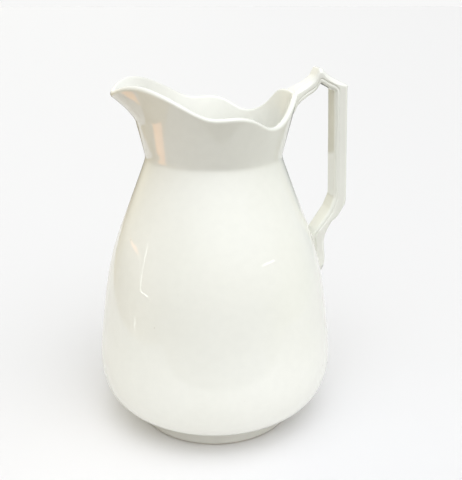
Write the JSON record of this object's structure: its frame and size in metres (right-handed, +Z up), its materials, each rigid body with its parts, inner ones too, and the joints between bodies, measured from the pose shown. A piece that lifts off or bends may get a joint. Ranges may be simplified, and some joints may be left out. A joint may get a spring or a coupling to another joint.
{
  "type": "large water jug",
  "caption": "Large white-glazed ironstone water jug: pear-shaped belly on a turned foot, flared collar with a waved rim and pouring lip, and an angular strap handle with a pointed tail.",
  "frame": {"origin": "on the belly's axis, in the plane of the foot ring's underside", "axes": "+Z up along the belly's axis, +X towards the handle, -X towards the pouring lip"},
  "size_m": [0.2052, 0.1942, 0.288],
  "materials": {
    "glaze": "gloss",
    "foot": "glazed outside, bare clay underneath"
  },
  "bodies": {
    "root": {"belly_wall": "glaze", "shoulder_wall": "glaze", "base_floor": "glaze", "foot_ring": "foot", "collar": "glaze", "handle": "glaze", "upper_slip": "glaze", "lower_slip": "glaze"}
  },
  "joints": []
}
